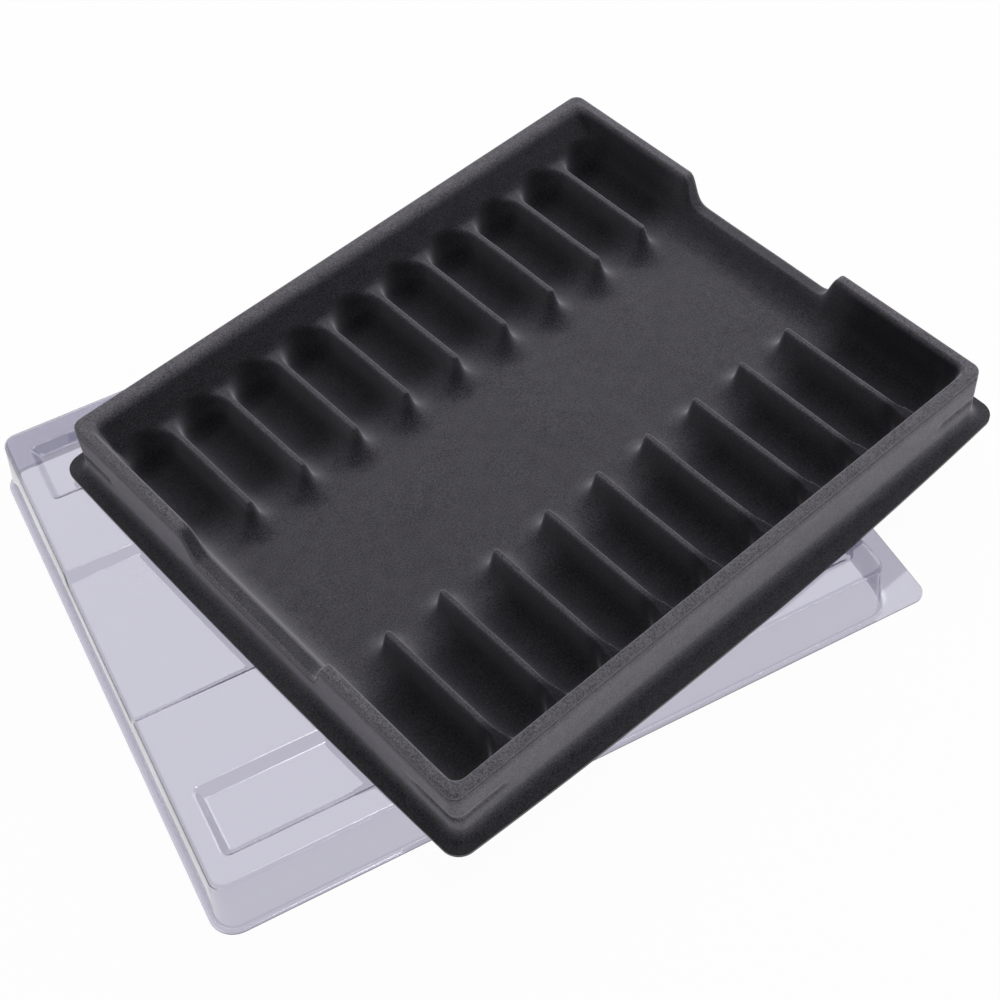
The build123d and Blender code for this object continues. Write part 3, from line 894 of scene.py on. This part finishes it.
def clear_pvc(settings):
    """Clear PVC sheet, formed: glossy, with slow waves that bend what it mirrors, tinted violet grey partly
    by its own colour and partly by painted shade of the floor seen through it.
    """
    material, tree, output = new_material("pvc_clear_formed")
    place = add_node(tree, "ShaderNodeTexCoord").outputs["Object"]
    waves = add_node(tree, "ShaderNodeTexNoise", inputs={
        "Vector": place, "Scale": 1 / settings.wave, "Detail": 0.0}).outputs["Fac"]
    rough = add_node(tree, "ShaderNodeMapRange", inputs={
        "Value": waves, "To Min": 0.03, "To Max": 0.07}).outputs["Result"]
    bump = add_node(tree, "ShaderNodeBump", inputs={
        "Height": waves, "Strength": 0.2, "Distance": SHEET_WAVE_DEPTH * MM}).outputs["Normal"]
    shader = add_node(tree, "ShaderNodeBsdfPrincipled", inputs={
        "Base Color": settings.tint_and_floor_shade, "Roughness": rough, "IOR": PVC_IOR, "Transmission Weight": 1.0,
        "Normal": bump})
    tree.links.new(shader.outputs[0], output.inputs[0])
    return material


def sheared_pvc():
    """Cut edge of the clear PVC sheet: sheared, so it is frosted and reads as a thin grey line."""
    material, tree, output = new_material("pvc_sheared_edge")
    place = add_node(tree, "ShaderNodeTexCoord").outputs["Object"]
    nicks = add_node(tree, "ShaderNodeTexNoise", inputs={
        "Vector": place, "Scale": 1 / (SHEAR_NICK * MM), "Detail": 1.0}).outputs["Fac"]
    colour = add_node(tree, "ShaderNodeMix", {"data_type": "RGBA"}, {
        "Factor": nicks, "A": linear_from_hex("#5b5963"), "B": linear_from_hex("#85838e")}).outputs["Result"]
    shader = add_node(tree, "ShaderNodeBsdfPrincipled", inputs={
        "Base Color": colour, "Roughness": 0.5, "IOR": PVC_IOR, "Transmission Weight": 0.4})
    tree.links.new(shader.outputs[0], output.inputs[0])
    return material


def rays_that_see_white(tree):
    """1 for rays from the camera, and for those that gloss and clear sheet send on, which show white too."""
    path = add_node(tree, "ShaderNodeLightPath")
    seen = path.outputs["Is Camera Ray"]
    for kind in ("Is Glossy Ray", "Is Transmission Ray"):
        seen = add_node(tree, "ShaderNodeMath", {"operation": "MAXIMUM"}, {
            0: seen, 1: path.outputs[kind]}).outputs[0]
    return seen


def seamless_white():
    """White paper sweep: nearly plain white to the eye, and the rest of it keeps the case's shadow."""
    material, tree, output = new_material("paper_white_matt")
    share = add_node(tree, "ShaderNodeMath", {"operation": "MULTIPLY"}, {
        0: rays_that_see_white(tree), 1: FLOOR_WHITE_SHARE}).outputs[0]
    paper = add_node(tree, "ShaderNodeBsdfDiffuse", inputs={"Color": linear_from_hex("#f0f0f0")}).outputs[0]
    white = add_node(tree, "ShaderNodeEmission", inputs={"Strength": 1.0}).outputs[0]
    mix = add_node(tree, "ShaderNodeMixShader", inputs={0: share, 1: paper, 2: white}).outputs[0]
    tree.links.new(mix, output.inputs[0])
    return material


# Stage

def add_area_light(name, location, target, width, height, power):
    """Soft light that faces a point."""
    lamp = bpy.data.lights.new(name, "AREA")
    lamp.shape = "RECTANGLE"
    lamp.size = width
    lamp.size_y = height
    lamp.energy = power
    light = bpy.data.objects.new(name, lamp)
    light.location = location
    light.rotation_euler = (Vector(target) - Vector(location)).to_track_quat("-Z", "Y").to_euler()
    bpy.context.scene.collection.objects.link(light)
    return light


def add_camera(settings):
    """Camera at the photograph's viewing angle, aimed at a point level with the tray's rim."""
    data = bpy.data.cameras.new("camera")
    data.sensor_width = SENSOR_WIDTH
    data.sensor_fit = "HORIZONTAL"
    data.lens = settings.lens
    data.clip_end = SIGHT
    camera = bpy.data.objects.new("camera", data)
    az, el, roll = settings.azimuth, settings.elevation, settings.roll
    forward = Vector((math.sin(az) * math.cos(el), math.cos(az) * math.cos(el), -math.sin(el)))
    level = Vector((math.cos(az), -math.sin(az), 0))
    upward = level.cross(forward)
    right = math.cos(roll) * level + math.sin(roll) * upward
    up = math.cos(roll) * upward - math.sin(roll) * level
    aim = Vector((TRAY_MIDDLE[0] * MM + settings.aim_x, TRAY_MIDDLE[1] * MM + settings.aim_y, TRAY_HIGH.z))
    camera.matrix_world = Matrix.Translation(aim - settings.distance * forward) @ Matrix(
        (right, up, -forward)).transposed().to_4x4()
    bpy.context.scene.collection.objects.link(camera)
    bpy.context.scene.camera = camera
    return camera


def add_sky(strength):
    """Even light from all round, which the camera, gloss and clear sheet see as plain white."""
    world = bpy.data.worlds.new("sky")
    world.use_nodes = True
    tree = world.node_tree
    tree.nodes.clear()
    power = add_node(tree, "ShaderNodeMapRange", inputs={
        "Value": rays_that_see_white(tree), "To Min": strength, "To Max": 1.0}).outputs["Result"]
    background = add_node(tree, "ShaderNodeBackground", inputs={
        "Color": linear_from_hex("#ffffff"), "Strength": power}).outputs[0]
    add_node(tree, "ShaderNodeOutputWorld", inputs={0: background})
    bpy.context.scene.world = world


class PENCASE_OT_tray(bpy.types.Operator):
    """Builds the flocked tray"""
    bl_idname = "pencase.tray"
    bl_label = "Flocked Tray"

    def execute(self, context):
        settings = context.scene.pen_case_tray
        mesh, grid_count, ring_thickness = tray_surface(settings)
        mesh.materials.append(flocked_nylon(settings))
        place = Matrix.Translation(Vector((*TRAY_MIDDLE, TRAY_SEAT)) * MM)
        piece = add_piece("tray_flocked_sheet", mesh, place, "tray", "flocked_tray")
        mesh.materials.append(bare_polystyrene())
        mark_drawn_sheet(piece, settings.sheet, grid_count, ring_thickness)
        solid = thicken(piece, settings.sheet, back_offset=1, edge_offset=1)
        solid.vertex_group = DRAWN_SHEET
        return {"FINISHED"}


class PENCASE_OT_lid(bpy.types.Operator):
    """Builds the clear lid"""
    bl_idname = "pencase.lid"
    bl_label = "Clear Lid"

    def execute(self, context):
        settings = context.scene.pen_case_lid
        mesh = lid_surface(settings)
        mesh.materials.append(clear_pvc(settings))
        middle = Vector((TRAY_MIDDLE[0] + LID_SHIFT[0], TRAY_MIDDLE[1] + LID_SHIFT[1], 0)) * MM
        place = Matrix.Translation(middle) @ Matrix.Rotation(LID_TURN, 4, "Z")
        piece = add_piece("lid_clear_sheet", mesh, place, "lid", "clear_lid")
        mesh.materials.append(sheared_pvc())
        thicken(piece, settings.sheet, back_offset=0, edge_offset=1)
        return {"FINISHED"}


class PENCASE_OT_stage(bpy.types.Operator):
    """Adds the camera, the lights and the floor"""
    bl_idname = "pencase.stage"
    bl_label = "Studio Stage"

    def execute(self, context):
        settings = context.scene.pen_case_stage
        add_camera(settings)
        add_sky(settings.sky)
        for name, (location, target, width, height) in LAMPS.items():
            add_area_light(name, location, target, width, height, getattr(settings, name + "_power"))
        mesh = bpy.data.meshes.new("floor")
        corners = [Vector((side_x * FLOOR_HALF, side_y * FLOOR_HALF, -FLOOR_DROP)) * MM
                   for side_x, side_y in ((-1, -1), (1, -1), (1, 1), (-1, 1))]
        mesh.from_pydata(corners, [], [(0, 1, 2, 3)])
        mesh.materials.append(seamless_white())
        floor = bpy.data.objects.new("floor", mesh)
        context.scene.collection.objects.link(floor)
        context.scene.view_settings.view_transform = "Standard"
        return {"FINISHED"}


class PENCASE_PT_panel(bpy.types.Panel):
    """Lists the pieces of the pen display case"""
    bl_idname = "PENCASE_PT_panel"
    bl_label = "Pen Display Case"
    bl_space_type = "VIEW_3D"
    bl_region_type = "UI"
    bl_category = "Pen Case"

    def draw(self, context):
        groups = (("Tray", PENCASE_OT_tray, context.scene.pen_case_tray),
                  ("Lid", PENCASE_OT_lid, context.scene.pen_case_lid),
                  ("Stage", PENCASE_OT_stage, context.scene.pen_case_stage))
        for title, operator, settings in groups:
            box = self.layout.box()
            box.label(text=title)
            for name in settings.__annotations__:
                box.prop(settings, name)
            box.operator(operator.bl_idname)


CLASSES = (PenCaseTray, PenCaseLid, PenCaseStage, PENCASE_OT_tray, PENCASE_OT_lid, PENCASE_OT_stage,
           PENCASE_PT_panel)


def register():
    for cls in CLASSES:
        bpy.utils.register_class(cls)
    bpy.types.Scene.pen_case_tray = bpy.props.PointerProperty(type=PenCaseTray)
    bpy.types.Scene.pen_case_lid = bpy.props.PointerProperty(type=PenCaseLid)
    bpy.types.Scene.pen_case_stage = bpy.props.PointerProperty(type=PenCaseStage)


def unregister():
    del bpy.types.Scene.pen_case_stage
    del bpy.types.Scene.pen_case_lid
    del bpy.types.Scene.pen_case_tray
    for cls in reversed(CLASSES):
        bpy.utils.unregister_class(cls)


def main():
    register()
    bpy.ops.pencase.tray()
    bpy.ops.pencase.lid()
    bpy.ops.pencase.stage()


if __name__ == "__main__":
    main()
